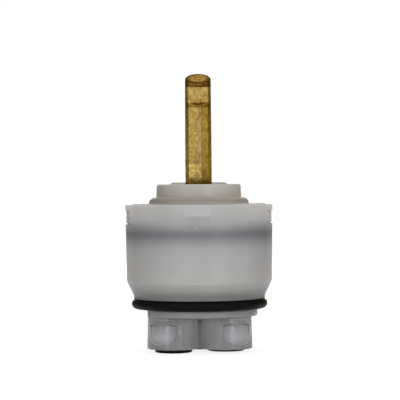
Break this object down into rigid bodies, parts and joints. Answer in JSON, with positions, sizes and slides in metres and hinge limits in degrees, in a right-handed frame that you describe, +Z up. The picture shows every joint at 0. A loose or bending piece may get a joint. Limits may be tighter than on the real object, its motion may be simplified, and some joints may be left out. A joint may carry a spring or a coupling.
{
  "type": "faucet mixing cartridge",
  "caption": "Single-lever ceramic-disc mixing cartridge: brass lever on a turning turret in a moulded cup, with a ring seal and a lobed port base.",
  "frame": {"origin": "on the cartridge's axis, in the plane of the lowest seal face", "axes": "+Z up along the axis that the lever turns about, -Y towards the user, +X to the hot side, on the user's right"},
  "size_m": [0.04, 0.04, 0.0745],
  "materials": {
    "cup_plastic": "moulded, slightly translucent off-white, satin",
    "cover_plastic": "moulded warm off-white, satin",
    "base_plastic": "moulded, cool grey-white, slightly glossy",
    "turret_plastic": "moulded acetal, satin",
    "coupler_plastic": "moulded acetal, satin",
    "glide_plastic": "smooth low-friction sheet",
    "rubber": "black moulded rubber",
    "ceramic": "lapped alumina",
    "brass": "cast, mottled and slightly tarnished",
    "steel": "drawn stainless"
  },
  "bodies": {
    "housing": {"housing_cup": "cup_plastic", "top_cover": "cover_plastic", "port_base": "base_plastic", "body_o_ring": "rubber", "neck_o_ring": "rubber", "glide_ring": "glide_plastic", "fixed_disc": "ceramic", "cold_port_seal": "rubber", "hot_port_seal": "rubber", "outlet_port_seal": "rubber", "cold_disc_seal": "rubber", "hot_disc_seal": "rubber", "outlet_disc_seal": "rubber"},
    "turret": {"turret": "turret_plastic", "lever_pin": "steel"},
    "lever": {"lever": "brass"},
    "disc_carrier": {"coupler": "coupler_plastic", "moving_disc": "ceramic", "chamber_seal": "rubber", "chamber_screen": "coupler_plastic"}
  },
  "joints": [
    {"name": "mix_turn", "type": "hinge", "parent": "housing", "child": "turret", "pos_m": [0, 0, 0.0403], "axis": [0, 0, 1], "range_deg": [-50, 50]},
    {"name": "flow_tilt", "type": "hinge", "parent": "turret", "child": "lever", "pos_m": [0, 0, 0.0403], "axis": [-1, 0, 0], "range_deg": [0, 25]},
    {"name": "disc_slide", "type": "slide", "parent": "turret", "child": "disc_carrier", "axis": [0, -1, 0], "range_m": [0, 0.00381]}
  ],
  "couplings": [
    {"joint": "disc_slide", "follows": "flow_tilt", "m_per_rad": 0.0087171}
  ]
}
